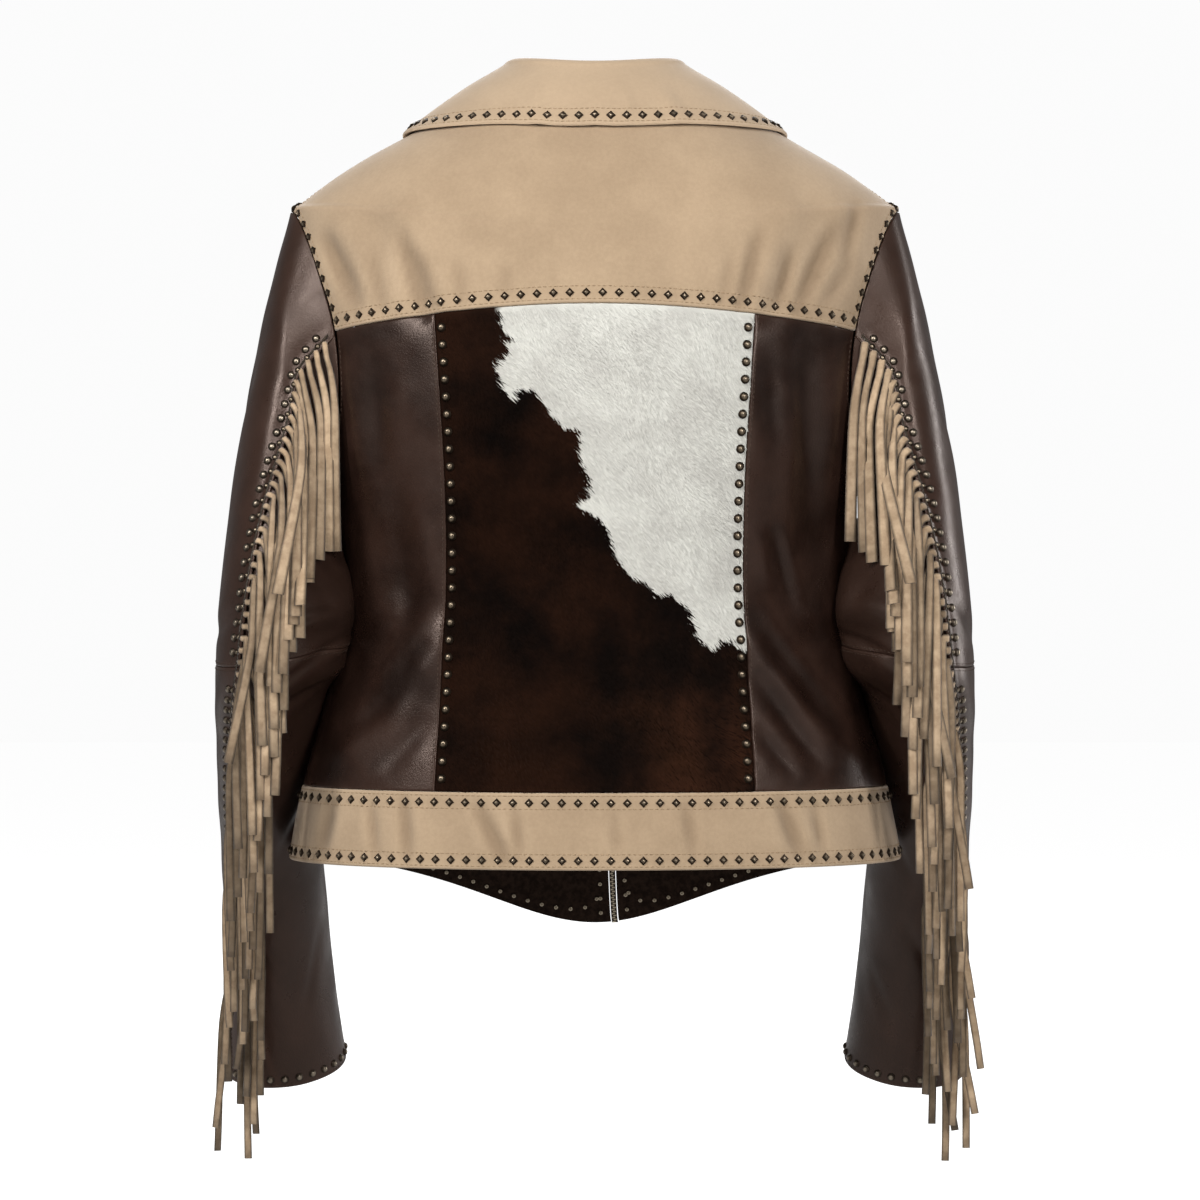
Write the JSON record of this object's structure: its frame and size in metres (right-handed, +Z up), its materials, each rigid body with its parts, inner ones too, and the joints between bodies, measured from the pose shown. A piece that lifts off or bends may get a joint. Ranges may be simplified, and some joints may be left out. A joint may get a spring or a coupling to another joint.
{
  "type": "fringed leather jacket",
  "caption": "Short fitted leather jacket with a suede yoke, collar and waistband, a hair-on hide back, studded seams and fringed sleeves, filled out as when worn.",
  "frame": {"origin": "between the shoulders, on the jacket's middle line, at the height of the neck's sides, where a wearer or a hanger holds it", "axes": "+Z up; the jacket's front faces -Y and its back +Y; the wearer's left is +X"},
  "size_m": [0.5466, 0.3278, 0.7722],
  "materials": {
    "brown_leather": "dark brown smooth leather, softly glossy",
    "tan_suede": "tan suede with a matt nap",
    "hair_on_hide": "short-haired cowhide, dark brown with a white patch",
    "old_brass": "aged brass, rubbed bright on the domes"
  },
  "bodies": {
    "jacket": {"back_centre": "hair_on_hide", "back_side_left": "brown_leather", "back_side_right": "brown_leather", "waistband": "tan_suede", "yoke": "tan_suede", "front_left": "brown_leather", "front_right": "brown_leather", "collar_stand": "tan_suede", "collar_leaf": "tan_suede", "sleeve_under_upper_left": "brown_leather", "sleeve_under_upper_right": "brown_leather", "sleeve_top_upper_left": "brown_leather", "sleeve_top_upper_right": "brown_leather", "sleeve_under_lower_left": "brown_leather", "sleeve_under_lower_right": "brown_leather", "sleeve_top_lower_left": "brown_leather", "sleeve_top_lower_right": "brown_leather", "fringe_left": "tan_suede", "fringe_right": "tan_suede", "zip_chain": "old_brass", "zip_slider": "old_brass"},
    "pull_tab": {"zip_pull": "old_brass"}
  },
  "joints": [
    {"name": "pull_swing", "type": "hinge", "parent": "jacket", "child": "pull_tab", "pos_m": [-0.00141, -0.09764, -0.11968], "axis": [-0.9993, 0.0095, 0.0363], "range_deg": [0, 140]}
  ]
}
